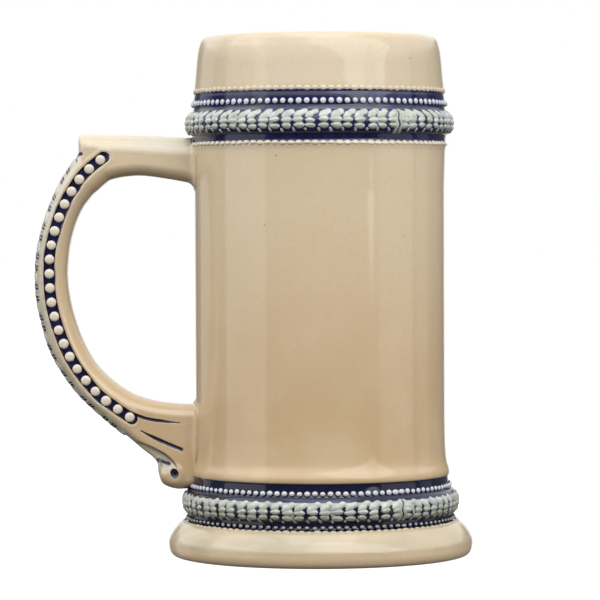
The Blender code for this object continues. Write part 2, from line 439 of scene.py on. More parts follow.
def make_cup():
    """The glazed cup, closed, with cobalt on the bands' ground and bare clay under the foot ring."""
    profile = cup_profile()
    rows = profile[1:-1]
    grid = turned_points(rows, TURN_STEPS)
    points = grid.reshape(-1, 3)
    faces = list(grid_faces(len(rows), TURN_STEPS, closed_columns=True))
    top = len(points)
    bottom = top + 1
    points = np.vstack([points, (0, 0, profile[0, 1]), (0, 0, profile[-1, 1])])
    last = (len(rows) - 1) * TURN_STEPS
    for j in range(TURN_STEPS):
        k = (j + 1) % TURN_STEPS
        faces.append((top, k, j))
        faces.append((bottom, last + j, last + k))
    height = points[:, 2]
    outside = np.hypot(points[:, 0], points[:, 1]) > OUTSIDE_RADIUS
    blue = np.zeros(len(points))
    for low, high, lit_low, lit_high in (UPPER_BLUE, LOWER_BLUE):
        band = outside * (height > low) * (height < high)
        # Painted reflection: the cobalt on the slope just under each pearl row is lightened in a strip, as if
        # it caught the light
        painted_sheen = ramp(lit_low - 0.3, lit_low + 0.2, height)
        painted_sheen = painted_sheen * ramp(lit_high + 0.4, lit_high - 0.1, height)
        blue = np.maximum(blue, band * (1 - 0.30 * painted_sheen))
    cup = make_piece("stein_cup", points, faces, [GLAZE, CLAY], blue)
    flat = np.abs(rows[:, 1]) < CLAY_TOP
    for face in cup.data.polygons[: (len(rows) - 1) * TURN_STEPS]:
        row = face.index // TURN_STEPS
        face.material_index = int(flat[row] and flat[row + 1])
    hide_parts("body")


# ---- beads


def dome_mesh(rings, segments, squareness=2.0, skirt=0.35):
    """A closed dome of radius 1 and height 1, with a short skirt below its rim that is sunk in the
    ground. A squareness over 2 gives a flatter top and steeper sides."""
    turn = np.linspace(0, math.tau, segments, endpoint=False)
    circle = np.column_stack([np.cos(turn), np.sin(turn), np.zeros(segments)])
    rows = []
    for i in range(rings):
        angle = 0.5 * math.pi * i / rings
        out = math.cos(angle) ** (2 / squareness)
        up = math.sin(angle) ** (2 / squareness)
        rows.append(out * circle + (0, 0, up))
    skirt_row = circle - (0, 0, skirt)
    points = np.vstack([skirt_row, *rows, [(0, 0, 1.0)], [(0, 0, -skirt)]])
    faces = list(grid_faces(rings + 1, segments, closed_columns=True))
    crown = (rings + 1) * segments
    last = rings * segments
    for j in range(segments):
        k = (j + 1) % segments
        faces.append((last + j, last + k, crown))
        faces.append((k, j, crown + 1))
    return points, faces


def join_copies(name, copies, faces, blue, pale):
    """A piece made of many copies of a small shape, from each one's points, faces and cobalt."""
    points = np.vstack(copies)
    size = len(copies[0])
    all_faces = [[i * size + v for v in face] for i in range(len(copies)) for face in faces[i]]
    return make_piece(name, points, all_faces, [GLAZE], np.concatenate(blue), np.full(len(points), pale))


# Beads within this angle of a mould seam are stretched along the row
SEAM_REACH = 0.03
SEAM_STRETCH = 1.3


def worn_past_the_seam(angle):
    """How crisp a bead is: crisp at the left of the front, worn flat past the seam."""
    turned = math.remainder(angle - FRONT, math.tau)
    return 0.25 + 0.75 * float(ramp(math.radians(30), math.radians(-15), turned))


def bead_row(name, count, radius, height, size, tilt_deg, colours, squareness=2.0, worn=False):
    """A row of beads round the cup. size is (half width, half height, how far one stands out), and
    colours are the cobalt round a bead's edge, over all of it, and its share of relief glaze."""
    shape, faces = dome_mesh(6, 14, squareness)
    beads, blue = [], []
    tilt = math.radians(tilt_deg)
    outward_z = math.sin(tilt)
    outward_r = math.cos(tilt)
    for i in range(count):
        angle = SEAM + math.tau * (i + 0.5) / count
        swell = 1 + 0.05 * wobble()
        drop = 0.05 * wobble()
        near_seam = abs(math.remainder(angle - SEAM, math.pi)) < SEAM_REACH
        stretch = SEAM_STRETCH if near_seam else 1.0
        across = shape[:, 0] * size[0] * swell * stretch
        up = shape[:, 1] * size[1] * swell
        out = shape[:, 2] * size[2] * (worn_past_the_seam(angle) if worn else 1.0)
        r = radius + out * outward_r - up * outward_z
        z = height + drop + out * outward_z + up * outward_r
        turn = angle + across / radius
        beads.append(np.column_stack([r * np.cos(turn), r * np.sin(turn), z]))
        low = ramp(0.72, 0.20, shape[:, 2])
        blue.append(colours[1] + low * (colours[0] - colours[1]))
    piece = join_copies(name, beads, [faces] * count, blue, colours[2])
    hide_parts("body")


def make_bead_rows():
    white = (0.90, 0.06, 2.0)
    grey = (0.95, 0.12, 1.8)
    cream = (0.0, 0.0, 0.0)
    faint = (0.0, 0.0, 0.3)
    milky = (0.0, 0.0, 3.0)
    bead_row("upper_pearl_row", 101, 40.7, 146.15, (1.02, 1.05, 0.87), 8, white, 2.2)
    bead_row("lower_pearl_row", 109, 41.85, 23.0, (1.02, 0.88, 0.85), 8, white, 2.2)
    bead_row("foot_pearl_row", 109, 43.15, 12.5, (0.86, 0.60, 0.70), 5, grey)
    bead_row("collar_scallops", 101, 40.36, 150.3, (1.15, 0.86, 0.43), 8, faint)
    bead_row("wall_top_scallops", 101, 41.2, 133.25, (1.15, 0.72, 0.55), 25, milky, worn=True)
    bead_row("wall_foot_scallops", 107, 41.6, 27.2, (1.00, 1.10, 0.28), -6, cream)
    bead_row("foot_scallops", 112, 44.35, 11.1, (1.15, 0.72, 0.52), 42, faint)


# ---- leaf bands

LEAF_ROWS = 60
COLUMNS_PER_UNIT = 24
BAND_THICKNESS = 1.2
MERGED_STREAKS = 21
MERGED_HEIGHT = 0.24

# The leaves of one unit, in millimetres along and up from the band's middle:
# (tail along, tail up, head along, head up, width, height it stands out). FATTEST says how far along
# a leaf it is widest, as a share of its length.
LEAVES = (
    (-2.15, 0.62, 1.45, 0.66, 2.00, 0.60),
    (-2.05, -1.06, 1.35, -1.24, 1.90, 0.56),
    (-2.00, 1.35, 1.10, 3.00, 2.55, 0.52),
    (-0.70, 2.45, 2.35, 3.75, 2.10, 0.40),
    (-2.45, -1.70, -1.50, -2.95, 1.05, 0.34),
)
FATTEST = 0.60


def leaf_height(along, up, leaf):
    """How far a teardrop leaf stands out over each point. Its head is fat and round, its tail pointed."""
    tail_a, tail_u, head_a, head_u, width, height = leaf
    run = np.array([head_a - tail_a, head_u - tail_u])
    length = np.linalg.norm(run)
    run = run / length
    share = ((along - tail_a) * run[0] + (up - tail_u) * run[1]) / length
    across = np.abs(-(along - tail_a) * run[1] + (up - tail_u) * run[0])
    inside = (share > 0) & (share < 1)
    share = np.clip(share, 1e-6, 1 - 1e-6)
    shape = (share / FATTEST) ** 0.65 * ((1 - share) / (1 - FATTEST)) ** 0.5
    half = 0.5 * width * np.clip(shape, 1e-6, 1)
    sideways = np.clip(across / half, 0, 1)
    return np.where(inside, height * (1 - sideways**2) ** 0.6 * np.clip(shape, 0, 1) ** 0.35, 0.0)


def leaf_field(along, up, length, units, scale):
    """The leaves' height over points given by their distance along and up a band that closes on itself.
    The pattern runs towards the seam at 0 from both sides, as the two halves of a mould mirror it."""
    pitch = length / units
    half = length / 2
    result = np.zeros_like(along)
    for chosen, mirrored in ((along <= half, along), (along > half, length - along)):
        a = mirrored[chosen]
        u = up[chosen]
        best = np.zeros_like(a)
        for i in range(-1, units // 2 + 1):
            centre = half - (i + 0.5) * pitch
            near = np.abs(a - centre) < 1.3 * pitch
            if not near.any():
                continue
            shift = 0.12 * wobble(2)
            grow = 1 + 0.08 * wobble()
            local = centre - a[near] + shift[0]
            level = u[near] + 0.4 * shift[1]
            for leaf in LEAVES:
                lean = 0.16 * wobble(4)
                tail_head = (np.array(leaf[:4]) * scale + lean).tolist()
                bent = (*tail_head, leaf[4] * scale * grow, leaf[5])
                best[near] = np.maximum(best[near], leaf_height(local, level, bent))
        result[chosen] = best
    return result


def merged_leaves(along, up, length):
    """How far the leaves run together in upright streaks, which stand a little apart round the band."""
    merged = np.zeros_like(along)
    for i in range(MERGED_STREAKS):
        centre = length * (i + RANDOM.uniform(0.15, 0.85)) / MERGED_STREAKS
        width = RANDOM.uniform(0.7, 1.3)
        strength = RANDOM.uniform(0.5, 1.0)
        gap = np.abs(along - centre + 0.35 * np.sin(1.3 * up + i))
        merged = np.maximum(merged, strength * ramp(width, 0.4 * width, gap))
    return merged * ramp(-2.6, -1.4, up) * ramp(3.6, 2.6, up)


def band_outline(top, apex, bottom):
    """A leaf band's rounded outline from top to bottom in even rows, its normals, and each row's
    distance along it."""
    above = ellipse_arc((top[0], apex[1]), (apex[0] - top[0], top[1] - apex[1]), 90, 0, 40)
    below = ellipse_arc((bottom[0], apex[1]), (apex[0] - bottom[0], apex[1] - bottom[1]), 0, -90, 40)
    line = smooth_line(np.vstack([above, below[1:]])[::4], 0.02)
    length = arc_length(line)
    wanted = np.linspace(0, length[-1], LEAF_ROWS)
    line = at_lengths(line, length, wanted)
    slope = np.gradient(line, axis=0)
    normal = np.column_stack([-slope[:, 1], slope[:, 0]])
    return line, normal / np.linalg.norm(normal, axis=1)[:, None], wanted


def leaf_band(name, outline, middle, units, scale, shoulder):
    """A closed ring of relief: its outline is three (radius, height) points, top, apex and bottom.
    Its shoulder says how far the top leaves' tips run together."""
    line, normal, wanted = band_outline(*outline)
    end = wanted[-1]
    columns = units * COLUMNS_PER_UNIT
    angle = np.linspace(0, math.tau, columns, endpoint=False)
    apex = outline[1][0]
    ring = math.tau * apex

    def every_column(values):
        return np.repeat(values, columns)

    def every_row(values):
        return np.broadcast_to(values, (LEAF_ROWS, columns)).ravel()

    along = every_row(angle * apex)
    up = every_column(line[:, 1] - middle)
    height = leaf_field(along, up, ring, units, scale)
    fade = every_column(ramp(0.0, 0.35, wanted) * ramp(end, end - 0.35, wanted))
    height = height * fade
    # How far each point lies from the nearer of the two seams, along a line that wavers a little
    seam = every_row(np.angle(np.exp(2j * angle)) / 2 * apex)
    seam = np.abs(seam + 0.25 * np.sin(1.7 * up))
    below_top = ramp(4.0, 3.4, up)
    smear = ramp(1.9, 1.1, seam) * below_top
    wave = 0.35 * np.sin(math.tau * along * units / ring)
    tips = shoulder * ramp(1.7, 2.6, up + wave) * below_top
    merged = np.maximum(np.maximum(merged_leaves(along, up, ring), smear), tips)
    height = np.maximum(height * (1 - 0.45 * smear), MERGED_HEIGHT * merged * fade)
    split = ramp(0.40, 0.15, seam)
    height = height * (1 - 0.8 * split)
    radius = every_column(line[:, 0]) + height * every_column(normal[:, 0])
    level = every_column(line[:, 1]) + height * every_column(normal[:, 1])
    turn = every_row(SEAM + angle)
    front = np.column_stack([radius * np.cos(turn), radius * np.sin(turn), level])
    inwards = np.array([(-BAND_THICKNESS, 0.3), (-BAND_THICKNESS, -0.3)])
    back = turned_points(line[[-1, 0]] + inwards, columns)
    # The back starts at angle 0 and the front at the seam, so the back is swung round to match
    swing = np.array([[math.cos(SEAM), math.sin(SEAM), 0], [-math.sin(SEAM), math.cos(SEAM), 0], [0, 0, 1]])
    points = np.vstack([front, back.reshape(-1, 3) @ swing])
    faces = grid_faces(LEAF_ROWS + 2, columns, closed_rows=True, closed_columns=True)
    # Cobalt lies between the leaves, thinner where they run together and at the band's two edges
    ground = ramp(0.19, 0.04, height) * (1 - 0.75 * merged * (1 - split))
    rim = every_column(ramp(1.4, 0.4, wanted))
    heel = every_column(ramp(end - 2.2, end - 1.0, wanted))
    ground *= (1 - 0.35 * rim) * (1 - 0.35 * heel)
    blue = np.concatenate([ground, np.ones(2 * columns)])
    pale = np.ones(len(points))
    piece = make_piece(name, points, faces, [GLAZE], blue, pale)
    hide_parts("body")


def make_leaf_bands():
    leaf_band("upper_leaf_band", ((41.0, 143.5), (43.15, 139.5), (41.0, 135.9)), 139.5, 70, 0.98, 0.30)
    leaf_band("lower_leaf_band", ((42.3, 21.9), (44.55, 17.9), (42.7, 14.0)), 16.75, 70, 0.95, 0.6)


# ---- the handle

# Cross sections from the wall at the top to the wall at the bottom: outer x and z, inner x and z,
# half width, radius of the two outer corners, and how many steps lead to the next one
HANDLE_SECTIONS = (
    (-38.2, 135.2, -38.2, 119.6, 7.7, 5.4, 6),
    (-44.2, 135.6, -43.5, 121.1, 7.8, 5.7, 12),
    (-59.9, 136.4, -56.0, 123.1, 8.0, 5.8, 22),
    (-70.0, 136.6, -63.0, 122.9, 8.3, 5.6, 14),
    (-75.6, 136.8, -67.6, 121.9, 8.5, 4.9, 8),
    (-77.7, 136.2, -68.9, 121.1, 8.5, 4.2, 5),
    (-78.1, 134.6, -69.8, 120.4, 8.5, 3.6, 6),
    (-78.1, 131.2, -70.7, 119.6, 8.5, 3.0, 8),
    (-79.0, 128.9, -71.9, 118.5, 8.5, 2.6, 8),
    (-80.8, 126.2, -73.7, 116.9, 8.5, 2.4, 12),
    (-84.0, 121.0, -76.6, 113.1, 8.5, 2.4, 14),
    (-87.4, 113.5, -79.0, 108.0, 8.5, 2.4, 14),
    (-90.0, 105.5, -80.7, 102.0, 8.5, 2.4, 14),
    (-91.6, 97.8, -81.5, 96.2, 8.5, 2.4, 12),
    (-92.1, 90.4, -81.7, 90.4, 8.5, 2.4, 12),
    (-91.6, 82.7, -81.0, 84.0, 8.5, 2.4, 12),
    (-89.9, 74.9, -79.5, 77.5, 8.5, 2.4, 14),
    (-87.6, 67.1, -76.9, 70.2, 8.5, 2.4, 14),
    (-83.4, 59.3, -72.9, 62.9, 8.5, 2.4, 16),
    (-77.6, 51.7, -67.6, 57.3, 8.5, 2.4, 18),
    (-69.2, 43.9, -61.8, 53.2, 8.5, 2.5, 22),
    (-62.9, 38.8, -57.5, 51.4, 8.4, 2.6, 20),
    (-57.7, 34.4, -53.0, 50.2, 8.2, 2.8, 14),
    (-54.6, 32.0, -49.5, 49.7, 8.1, 3.0, 10),
    (-53.0, 29.8, -47.5, 49.5, 8.0, 3.2, 10),
    (-52.6, 26.5, -45.5, 49.3, 8.0, 3.4, 10),
    (-51.2, 23.2, -43.5, 49.2, 8.0, 3.4, 12),
    (-47.4, 21.6, -41.5, 49.2, 8.1, 3.2, 12),
    (-43.4, 21.6, -39.8, 49.2, 8.1, 2.8, 10),
    (-38.4, 22.6, -38.4, 49.3, 8.1, 2.4, 1),
)

# How far the outer face bulges, the inner corners' two radii, and the steps along each part
CROWN = 0.9
INNER_CORNER = (4.2, 6.2)
SIDE_STEPS = 80
FACE_STEPS = 16
CORNER_STEPS = 10
INNER_STEPS = 14

# Lines on both sides of the handle, as (x, z) points
CHANNEL = ((-69.5, 129.1), (-74.2, 125.4), (-78.0, 121.1), (-82.8, 112.7), (-86.4, 101.5), (-87.2, 91.0),
           (-85.8, 78.5), (-80.5, 64.4), (-72.6, 53.7), (-66.2, 48.5), (-60.8, 44.8))  # fmt: skip
UPPER_GROOVE = ((-61.4, 46.8), (-56.0, 44.8), (-50.5, 43.9), (-45.2, 43.3))
LOWER_GROOVE = ((-57.8, 40.8), (-54.6, 39.1), (-49.5, 36.7), (-43.5, 34.2))
CREASE = ((-60.3, 37.6), (-57.6, 36.7), (-53.8, 35.2), (-50.6, 33.5), (-48.2, 31.6), (-46.7, 29.6),
          (-46.0, 27.6))  # fmt: skip
FOLD = ((-52.8, 31.2), (-51.4, 30.8), (-50.0, 30.3), (-48.9, 30.1))
NOTCH = ((-79.9, 130.4), (-78.4, 129.9), (-76.8, 130.2))
NOTCH_TAIL = ((-78.7, 129.6), (-78.5, 127.9))
KNOB_CENTRE = (-47.5, 26.5)
EYE_CENTRE = (-47.1, 27.1)
CHANNEL_HALF = 1.75
CHANNEL_DEPTH = 0.95
UPPER_GROOVE_DEPTH = 0.45
LOWER_GROOVE_DEPTH = 0.50
CREASE_STEP = 1.25
CREASE_REACH = 6.0
FOLD_DEPTH = 0.45
NOTCH_DEPTH = 0.35
EYE_DEPTH = 0.70
KNOB_HEIGHT = 0.55

# The pearls in each channel, and how far the first and the last one lie from its ends
PEARLS_PER_SIDE = 22
PEARL_RADIUS = 1.64
PEARL_HEIGHT = 1.30
FIRST_PEARL = 1.35
LAST_PEARL = 0.85
BOW_HALF_WIDTH = 8.5


def handle_stations():
    """The handle's cross sections with smooth ones between them, without the step counts."""
    rows = [section[:6] for section in HANDLE_SECTIONS]
    steps = [section[6] for section in HANDLE_SECTIONS]
    return smooth_rows(rows, steps)


def crown_edge(half_width, corner):
    """Where the crowned outer face meets a corner's arc: its half width, and the slope there."""
    slope = 0.0
    for _ in range(6):
        flat = half_width - corner * (1 - math.sin(slope))
        slope = math.atan(2 * CROWN / flat)
    return flat, slope


def section_outline(thickness, half_width, corner):
    """One cross section as (u, v): u runs from the inner face to the outer one, v sideways."""
    top = thickness / 2
    flat, slope = crown_edge(half_width, corner)
    v = np.linspace(0, flat, FACE_STEPS // 2 + 1)
    face = np.column_stack([top - CROWN * (v / flat) ** 2, v])
    centre = (top - CROWN - corner * math.cos(slope), half_width - corner)
    corner_a = ellipse_arc(centre, (corner, corner), math.degrees(slope), 90, CORNER_STEPS)[1:]
    inner_u, inner_v = INNER_CORNER
    side_bottom = -top + inner_u
    u = np.linspace(centre[0], side_bottom, SIDE_STEPS + 1)[1:]
    side = np.column_stack([u, np.full(SIDE_STEPS, half_width)])
    corner_b = ellipse_arc((side_bottom, half_width - inner_v), (-inner_u, inner_v), 90, 0, INNER_STEPS)[1:]
    half = np.vstack([face, corner_a, side, corner_b])
    middle = np.array([(half[-1, 0], 0.0)])
    other = half[1:][::-1] * (1, -1)
    return np.vstack([half, middle, other])


def handle_frame(stations):
    """Each section's middle, the unit vector towards its outer point, and its thickness."""
    zero = np.zeros(len(stations))
    outer = np.column_stack([stations[:, 0], zero, stations[:, 1]])
    inner = np.column_stack([stations[:, 2], zero, stations[:, 3]])
    across = outer - inner
    thickness = np.linalg.norm(across, axis=1)
    return (outer + inner) / 2, across / thickness[:, None], thickness


def grid_normals(grid):
    """Unit normals of a grid whose columns close on themselves."""
    down = np.gradient(grid, axis=0)
    round_ = np.roll(grid, -1, axis=1) - np.roll(grid, 1, axis=1)
    normal = np.cross(round_, down)
    size = np.linalg.norm(normal, axis=2)
    return normal / np.maximum(size, 1e-9)[:, :, None]


def cut_groove(raised, blue, gap, half, depth):
    """Heights and blue after cutting a groove along a line that lies gap away from each point."""
    raised = raised - depth * ramp(half + 0.18, half - 0.22, gap)
    return raised, np.maximum(blue, 1.5 * ramp(half + 0.12, half - 0.12, gap))


def side_features(place):
    """Height changes, cobalt and paler glaze on the handle's sides, for points given as (x, z)."""

    def nearest(points, spacing):
        return nearest_on_line(place, smooth_line(points, spacing))

    gap = nearest(CHANNEL, 0.8)[0]
    inside = ramp(CHANNEL_HALF + 0.16, CHANNEL_HALF - 0.22, gap)
    raised = -CHANNEL_DEPTH * inside
    raised += 0.12 * np.exp(-(((gap - CHANNEL_HALF - 0.75) / 0.5) ** 2)) * (1 - inside)
    blue = ramp(CHANNEL_HALF + 0.12, CHANNEL_HALF - 0.12, gap)
    blue += 0.8 * blue * ramp(CHANNEL_HALF - 0.60, CHANNEL_HALF - 0.25, gap)

    gap, along, _ = nearest(UPPER_GROOVE, 0.5)
    tapered = 0.44 - 0.36 * ramp(0.55, 1.0, along)
    raised, blue = cut_groove(raised, blue, gap, tapered, UPPER_GROOVE_DEPTH)
    gap, along, _ = nearest(LOWER_GROOVE, 0.5)
    tapered = 0.14 + 0.36 * ramp(0.0, 0.35, along)
    raised, blue = cut_groove(raised, blue, gap, tapered, LOWER_GROOVE_DEPTH)

    gap, along, side = nearest(CREASE, 0.4)
    below = (side < 0) & (gap < CREASE_REACH)
    step = CREASE_STEP * ramp(1.0, 0.80, along) * ramp(0.0, 0.10, along)
    raised -= step * np.where(below, ramp(0.0, 0.40, gap) * ramp(CREASE_REACH, 3.0, gap), 0)
    pale = 0.55 * np.where(below, ramp(0.0, 0.7, gap) * ramp(1.0, 0.85, along), 0)
    line = ramp(0.42, 0.10, gap) * ramp(1.0, 0.85, along) * ramp(0.0, 0.15, along)
    raised -= 0.25 * line
    blue = np.maximum(blue, 0.45 * line)

    knob = np.linalg.norm(place - KNOB_CENTRE, axis=1)
    raised += KNOB_HEIGHT * ramp(4.6, 2.0, knob)
    gap = nearest(FOLD, 0.3)[0]
    raised -= FOLD_DEPTH * ramp(0.75, 0.0, gap)
    blue = np.maximum(blue, 0.80 * ramp(0.75, 0.2, gap))
    for points, half in ((NOTCH, 0.55), (NOTCH_TAIL, 0.50)):
        gap = nearest(points, 0.3)[0]
        raised -= NOTCH_DEPTH * ramp(half + 0.1, half - 0.3, gap)
        blue = np.maximum(blue, 0.9 * ramp(half + 0.1, half - 0.1, gap))
    turned = (place - EYE_CENTRE) @ np.array([[0.88, -0.47], [0.47, 0.88]])
    eye = np.hypot(turned[:, 0] / 1.22, turned[:, 1] / 1.55)
    raised -= EYE_DEPTH * ramp(1.15, 0.55, eye)
    blue = np.maximum(blue, ramp(1.12, 0.95, eye))
    return raised, blue, pale


def handle_grid(stations):
    """The handle's surface as rings of points, one to a station."""
    middle, across, thickness = handle_frame(stations)
    rings = []
    for i in range(len(stations)):
        outline = section_outline(thickness[i], stations[i, 4], stations[i, 5])
        ring = middle[i] + outline[:, :1] * across[i]
        ring[:, 1] += outline[:, 1]
        rings.append(ring)
    return np.array(rings)


def make_handle():
    """The handle with its channels, grooves, scroll and eye. Returns its rings without them."""
    stations = handle_stations()
    grid = handle_grid(stations)
    rows, columns = grid.shape[:2]
    normal = grid_normals(grid)
    sideways = np.abs(normal[:, :, 1]).ravel()
    facing = ramp(0.25, 0.80, sideways)
    points = grid.reshape(-1, 3)
    raised, blue, pale = side_features(points[:, [0, 2]])
    points = points + (raised * facing)[:, None] * normal.reshape(-1, 3)
    blue = blue * ramp(0.05, 0.30, sideways)
    faces = list(grid_faces(rows, columns, closed_columns=True))
    faces.append(tuple(range(columns))[::-1])
    faces.append(tuple((rows - 1) * columns + j for j in range(columns)))
    pale = np.maximum(pale, border_glaze(stations, grid))
    handle = make_piece("stein_handle", points, faces, [GLAZE], blue, pale)
    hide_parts("handle")
    return grid


def border_glaze(stations, grid):
    """Where the roll between the handle's leaf strip and its channels takes the relief's paler glaze:
    within 3 mm of the outer face, fading out over a few rows at both ends of the strip."""
    first = sum(section[6] for section in HANDLE_SECTIONS[:STRIP_FIRST])
    last = sum(section[6] for section in HANDLE_SECTIONS[:STRIP_LAST])
    row = np.arange(len(stations))
    on_bow = ramp(first - 8, first + 4, row) * ramp(last + 30, last - 20, row)
    middle, across, thickness = handle_frame(stations)
    depth = thickness[:, None] / 2 - np.einsum("rck,rk->rc", grid - middle[:, None], across)
    return (0.50 * ramp(3.6, 2.6, depth) * on_bow[:, None]).ravel()


def make_handle_pearls():
    """The flat domes in the channels on both sides."""
    path = smooth_line(CHANNEL, 0.05)
    length = arc_length(path)
    places = np.linspace(FIRST_PEARL, length[-1] - LAST_PEARL, PEARLS_PER_SIDE)
    shape, shape_faces = dome_mesh(9, 28, 3.2, 0.3)
    pearls, faces, blue = [], [], []
    floor = BOW_HALF_WIDTH - CHANNEL_DEPTH
    for side in (-1, 1):
        for place in places:
            x = np.interp(place, length, path[:, 0])
            z = np.interp(place, length, path[:, 1])
            size = PEARL_RADIUS * (1 + 0.03 * wobble())
            y = side * (floor + PEARL_HEIGHT * shape[:, 2])
            pearls.append(np.column_stack([x + size * shape[:, 0], y, z + size * shape[:, 1]]))
            faces.append([face[::-side] for face in shape_faces])
            blue.append(0.8 * ramp(0.25, 0.0, shape[:, 2]))
    pearls = join_copies("handle_pearls", pearls, faces, blue, 3.0)
    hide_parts("handle")


STRIP_FIRST = 8
STRIP_LAST = 21
STRIP_COLUMNS = 72
STRIP_SPACING = 0.18
STRIP_THICKNESS = 1.2
STRIP_WRAP = math.radians(48)

# One repeat of the leaf strip down the handle's back: tail and head along and sideways from its
# middle, width, and height. Each leaf has its mirror image on the other side.
STRIP_REPEAT = 10.0
STRIP_LEAVES = (
    (-1.2, 0.9, 3.0, 6.6, 4.6, 0.50),
    (2.2, 0.9, 6.0, 6.6, 3.4, 0.50),
    (5.6, 0.9, 9.0, 6.6, 3.4, 0.50),
    (-0.4, 0.2, 4.4, 0.2, 1.1, 0.45),
    (4.6, 0.2, 9.4, 0.2, 1.1, 0.45),
)

# Short strokes of cobalt near the strip's edges, in pairs: where the pairs lie in one repeat,
# how far apart a pair's strokes are, how far a stroke slants, and its half width
TICK_PLACES = (4.1, 7.7)
TICK_PAIR = 0.50
TICK_SLANT = 0.45
TICK_HALF_WIDTH = 0.30


def strip_section(station, thickness, count):
    """Points (u, v) and normals along a cross section's outer face and part of both its corners,
    with each point's distance sideways along the surface."""
    flat, slope = crown_edge(station[4], station[5])
    corner = station[5]
    reach = flat + corner * (STRIP_WRAP - slope)
    w = np.linspace(-reach, reach, count)
    side = np.sign(w)
    on_face = np.minimum(np.abs(w), flat)
    turn = slope + np.maximum(np.abs(w) - flat, 0) / corner
    tilt = np.where(np.abs(w) < flat, np.arctan(2 * CROWN * on_face / flat**2), turn)
    centre = (thickness / 2 - CROWN - corner * math.cos(slope), station[4] - corner)
    face_u = thickness / 2 - CROWN * (on_face / flat) ** 2
    u = np.where(np.abs(w) < flat, face_u, centre[0] + corner * np.cos(turn))
    v = np.where(np.abs(w) < flat, on_face, centre[1] + corner * np.sin(turn))
    return u, side * v, np.cos(tilt), side * np.sin(tilt), w, flat


def strip_ticks(along, sideways, flat, repeats):
    """How much cobalt the strokes near the strip's edges lay at each point."""
    share = np.clip((sideways - 0.72 * flat) / (0.36 * flat), 0, 1)
    on_edge = ramp(0.70 * flat, 0.76 * flat, sideways) * ramp(1.12 * flat, 1.06 * flat, sideways)
    blue = np.zeros_like(sideways)
    for i in range(-1, repeats):
        for place in TICK_PLACES:
            wander = 0.12 * wobble()
            for offset in (-TICK_PAIR, TICK_PAIR):
                middle = i * STRIP_REPEAT + place + wander + offset + TICK_SLANT * share
                gap = np.abs(along[:, None] - middle)
                near = ramp(TICK_HALF_WIDTH + 0.10, TICK_HALF_WIDTH - 0.08, gap)
                blue = np.maximum(blue, 2 * near * on_edge)
    return blue


def make_leaf_strip():
    """The strip of leaves down the back of the handle and round its corners, a little proud of it."""
    rows = [section[:6] for section in HANDLE_SECTIONS[STRIP_FIRST : STRIP_LAST + 1]]
    stations = smooth_rows(rows, [40] * (len(rows) - 1))
    outer_length = arc_length(stations[:, :2])
    count = int(outer_length[-1] / STRIP_SPACING)
    wanted = np.linspace(0, outer_length[-1], count)
    stations = at_lengths(stations, outer_length, wanted)
    middle, across, thickness = handle_frame(stations)
    sections = [strip_section(stations[i], thickness[i], STRIP_COLUMNS) for i in range(count)]
    u, v, normal_u, normal_v, w, flat = (np.array(values) for values in zip(*sections))
    flat = flat[:, None]
    along = np.repeat(wanted, STRIP_COLUMNS)
    height = np.zeros_like(along)
    repeats = int(outer_length[-1] / STRIP_REPEAT) + 1
    for i in range(-1, repeats):
        near = np.abs(along - (i + 0.5) * STRIP_REPEAT) < STRIP_REPEAT
        local = along[near] - i * STRIP_REPEAT
        for side in (-1, 1):
            for leaf in STRIP_LEAVES:
                lean = 0.12 * wobble(4)
                bent = (*(np.array(leaf[:4]) + lean).tolist(), leaf[4], leaf[5])
                height[near] = np.maximum(height[near], leaf_height(local, side * w.ravel()[near], bent))
    height = height.reshape(count, STRIP_COLUMNS)
    reach = np.abs(w[:, -1:])
    edge = ramp(reach, reach - 0.9, np.abs(w))
    ends = (ramp(0, 0.6, wanted) * ramp(wanted[-1], wanted[-1] - 0.8, wanted))[:, None]
    lift = height * edge * ends - 0.10 + 0.14 * edge * ends

    def skin(lift):
        place = middle[:, None] + (u + lift * normal_u)[:, :, None] * across[:, None]
        return (place + (v + lift * normal_v)[:, :, None] * (0.0, 1.0, 0.0)).reshape(-1, 3)

    points = np.vstack([skin(lift), skin(-STRIP_THICKNESS)])
    size = count * STRIP_COLUMNS
    faces = list(grid_faces(count, STRIP_COLUMNS))
    faces += [face[::-1] for face in grid_faces(count, STRIP_COLUMNS, first=size)]
    grid = np.arange(size).reshape(count, STRIP_COLUMNS)
    rim = [*grid[0], *grid[1:, -1], *grid[-1, -2::-1], *grid[-2:0:-1, 0]]
    for a, b in zip(rim, rim[1:] + rim[:1]):
        faces.append((b, a, a + size, b + size))
    inside = ramp(flat * 0.66, flat * 0.58, np.abs(w)) * ends
    ticks = strip_ticks(wanted, np.abs(w), flat, repeats) * ends
    blue = np.maximum(ramp(0.12, 0.02, height) * inside, ticks).ravel()
    pale = np.full(2 * size, 0.65)
    strip = make_piece("handle_leaf_strip", points, faces, [GLAZE], np.concatenate([blue, blue]), pale)
    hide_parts("handle")


# ---- slip fillets

# The cup's outer side with its relief, where the handle meets it: heights and the radii there
WALL_HEIGHTS = (14, 18, 21.7, 23.5, 25.2, 26.5, 29.8, 34, 45, 118, 126, 131, 133.2, 135, 137, 140)
WALL_RADII = (43, 44.5, 42.6, 41.5, 41.3, 41.9, 41.3, 40.9, 40.5, 40.5, 40.7, 40.85, 41.35, 41.1, 41.6, 43)

# How far a fillet's skin lies above the handle, how far it sinks at its far end, how deep it goes
# into the handle, and the x where each fillet starts
FILLET_LIFT = 0.012
FILLET_SINK = 0.06
FILLET_DEPTH = 0.8
UPPER_FILLET_FROM = -45.0
LOWER_FILLET_FROM = -44.5


